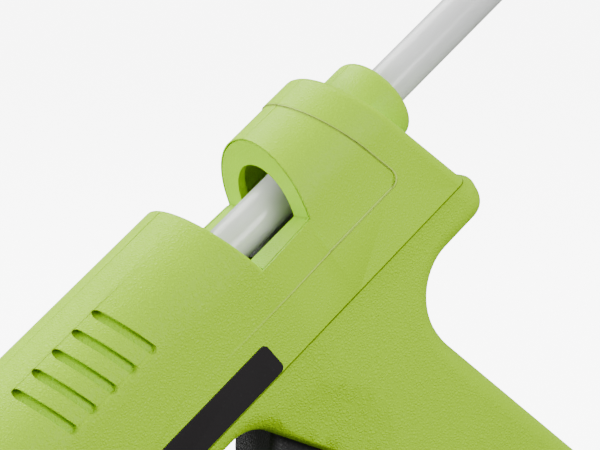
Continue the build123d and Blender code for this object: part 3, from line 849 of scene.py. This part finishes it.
class GLUEGUN_OT_nose(bpy.types.Operator):
    """Make the nose ring, the silicone boot and the nozzle"""

    bl_idname = "gluegun.nose"
    bl_label = "Nose"

    def execute(self, context):
        look = context.scene.glue_look
        black = moulded("heatproof_black", tuple(look.trim_colour), grain=0.0006)
        refine("nose_ring", "nose_ring_piece", black)
        silicone = moulded("boot_silicone", (0.03, 0.03, 0.032), grain=0.0004, depth=0.00001, rough=0.6)
        self.make_boot(context.scene.glue_details, silicone)
        refine("nozzle", "brass_nozzle", brass_material(look))
        return {"FINISHED"}

    def make_boot(self, sizes, material):
        """The silicone boot with raised rings round its cone."""
        plain = merged_copy("nozzle_sleeve", "plain_boot")
        mesh = plain.data
        bpy.data.objects.remove(plain)
        work = bmesh.new()
        work.from_mesh(mesh)
        tree = BVHTree.FromBMesh(work)
        work.free()
        start = min((vertex.co - BARREL_START).dot(BACKWARD) for vertex in mesh.vertices)
        front = BARREL_START + BACKWARD * (start + sizes.ribs_start)
        rear = BARREL_START + BACKWARD * (start + sizes.ribs_end)
        recipe = Recipe("nozzle_boot", {
            "Front": front, "Rear": rear,
            "Front radius": self.radius_at(tree, front), "Rear radius": self.radius_at(tree, rear),
            "Ribs": sizes.rib_count, "Rib radius": sizes.rib_radius, "Material": None,
        })
        line = recipe.node("GeometryNodeMeshLine", {
            "Count": recipe.take("Ribs"), "Start Location": recipe.take("Front"),
            "Offset": recipe.take("Rear")}, {"mode": "END_POINTS"})
        last_rib = recipe.maths("SUBTRACT", recipe.take("Ribs"), 1.0)
        share = recipe.maths("DIVIDE", recipe.node("GeometryNodeInputIndex"), last_rib)
        growth = recipe.maths("SUBTRACT", recipe.take("Rear radius"), recipe.take("Front radius"))
        radius = recipe.maths("ADD", recipe.maths("MULTIPLY", growth, share), recipe.take("Front radius"))
        hoop = recipe.node(
            "GeometryNodeCurvePrimitiveCircle", {"Resolution": 96, "Radius": 1.0}, {"mode": "RADIUS"})
        axis = tuple(BACKWARD.to_track_quat("Z", "Y").to_euler())
        hoops = recipe.node("GeometryNodeInstanceOnPoints", {
            "Points": line, "Instance": hoop, "Rotation": axis, "Scale": radius})
        loops = recipe.node("GeometryNodeRealizeInstances", {"Geometry": hoops})
        section = recipe.node("GeometryNodeCurvePrimitiveCircle", {
            "Resolution": 16, "Radius": recipe.take("Rib radius")}, {"mode": "RADIUS"})
        ribs = recipe.node("GeometryNodeCurveToMesh", {"Curve": loops, "Profile Curve": section})
        both = recipe.node("GeometryNodeJoinGeometry", {"Geometry": [recipe.take("Mesh"), ribs]})
        settle(recipe.grow(mesh, both, material), material, "case", ("nozzle_sleeve",), 30.0)

    def radius_at(self, tree, place):
        """How far the boot's outside is from a point on the barrel's axis."""
        hit = tree.ray_cast(place + ACROSS * BEYOND, -ACROSS)[0]
        if hit is None:
            raise RuntimeError("the boot isn't round the barrel")
        return (hit - place).length


class GLUEGUN_OT_stick(bpy.types.Operator):
    """Dress the glue stick"""

    bl_idname = "gluegun.stick"
    bl_label = "Glue stick"

    def execute(self, context):
        low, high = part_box("glue_stick")
        radius = (high.y - low.y) / 2 / MM
        span = (Vector(high) - Vector(low)).xz
        half = self.half_length(span.x / MM, span.y / MM, radius)
        start, end = STICK_MIDDLE_X - half, STICK_MIDDLE_X + half
        profile = rounded([
            (start, 0.0), (start, radius * MELTED_SHARE), (start + MELTED_LENGTH, radius),
            (end - CUT_EDGE, radius), (end, radius - CUT_EDGE), (end, 0.0)], MELTED_ROUND)
        piece = lathe("stick", profile)
        settle(piece, glue_material(context.scene.glue_look), "stick", ("glue_stick",), 50.0)
        return {"FINISHED"}

    def half_length(self, run, rise, radius):
        """Half the stick's length, from the box of the leaning stick."""
        return (run - 2 * radius * math.sin(LEAN)) / math.cos(LEAN) / 2


class GLUEGUN_OT_trigger(bpy.types.Operator):
    """Dress the trigger, its pivot and its spring"""

    bl_idname = "gluegun.trigger"
    bl_label = "Trigger"

    def execute(self, context):
        look = context.scene.glue_look
        black = moulded("trigger_black", tuple(look.trim_colour), grain=0.0008)
        refine("trigger", "trigger_piece", black)
        steel = metal("bright_steel", (0.55, 0.55, 0.56))
        for node in STEEL_NODES:
            refine(node, node + "_piece", steel)
        return {"FINISHED"}


class GLUEGUN_OT_stand(bpy.types.Operator):
    """Dress the fold-out wire stand"""

    bl_idname = "gluegun.stand"
    bl_label = "Wire stand"

    def execute(self, context):
        refine("wire_stand", "stand_wire_piece", metal("plated_wire", (0.62, 0.62, 0.63), rough=0.2), 60.0)
        return {"FINISHED"}


class GLUEGUN_OT_inside(bpy.types.Operator):
    """Dress the heater, feed and wiring inside the case"""

    bl_idname = "gluegun.inside"
    bl_label = "Inside"

    def execute(self, context):
        cast = metal("cast_aluminium", (0.66, 0.66, 0.67), rough=0.45)
        laminate = moulded("brown_laminate", (0.22, 0.11, 0.05), grain=0.0005, rough=0.5)
        clear = moulded("milky_silicone", (0.72, 0.72, 0.68), grain=0.0005, depth=0.00001, rough=0.4)
        nylon = moulded("filled_nylon", (0.08, 0.08, 0.085), grain=0.0006)
        amber = moulded("amber_film", (0.60, 0.26, 0.04), grain=0.0004, depth=0.00001, rough=0.25)
        fired = moulded("fired_ceramic", (0.35, 0.35, 0.33), grain=0.0004, rough=0.7)
        white = moulded("terminal_white", (0.75, 0.74, 0.7), grain=0.0008, depth=0.00002, rough=0.3)
        sleeve = moulded("lead_sleeving", (0.55, 0.52, 0.45), grain=0.0004, rough=0.6)
        rubber = moulded("gland_rubber", (0.02, 0.02, 0.02), grain=0.0005, rough=0.6)
        finishes = {
            "heating_chamber": cast, "heater_electrodes": cast, "heater_films": amber,
            "ptc_heater": fired, "front_cradle": laminate, "rear_cradle": laminate,
            "inlet_sleeve": clear, "stick_guide": nylon, "carriage": nylon,
            "terminal_block": white, "heater_leads": sleeve, "cord_gland": rubber,
        }
        for node, material in finishes.items():
            refine(node, node + "_piece", material)
        return {"FINISHED"}


OPERATORS = [
    GLUEGUN_OT_stage, GLUEGUN_OT_case, GLUEGUN_OT_labels, GLUEGUN_OT_nose, GLUEGUN_OT_stick,
    GLUEGUN_OT_trigger, GLUEGUN_OT_stand, GLUEGUN_OT_inside,
]


class GLUEGUN_PT_panel(bpy.types.Panel):
    """Buttons for each group of pieces"""

    bl_idname = "GLUEGUN_PT_panel"
    bl_label = "Glue Gun"
    bl_space_type = "VIEW_3D"
    bl_region_type = "UI"
    bl_category = "Glue Gun"

    def draw(self, context):
        column = self.layout.column(align=True)
        for group in (context.scene.glue_look, context.scene.glue_details, context.scene.glue_studio):
            for name in group.__annotations__:
                column.prop(group, name)
        for operator in OPERATORS:
            column.operator(operator.bl_idname)


CLASSES = [GunLook, DetailSizes, StudioSettings, *OPERATORS, GLUEGUN_PT_panel]


def register():
    for cls in CLASSES:
        bpy.utils.register_class(cls)
    bpy.types.Scene.glue_look = PointerProperty(type=GunLook)
    bpy.types.Scene.glue_details = PointerProperty(type=DetailSizes)
    bpy.types.Scene.glue_studio = PointerProperty(type=StudioSettings)


def unregister():
    del bpy.types.Scene.glue_look
    del bpy.types.Scene.glue_details
    del bpy.types.Scene.glue_studio
    for cls in reversed(CLASSES):
        bpy.utils.unregister_class(cls)


def main():
    """Dress the whole gun."""
    register()
    for operator in OPERATORS:
        group, name = operator.bl_idname.split(".")
        getattr(getattr(bpy.ops, group), name)()


if __name__ == "__main__":
    main()
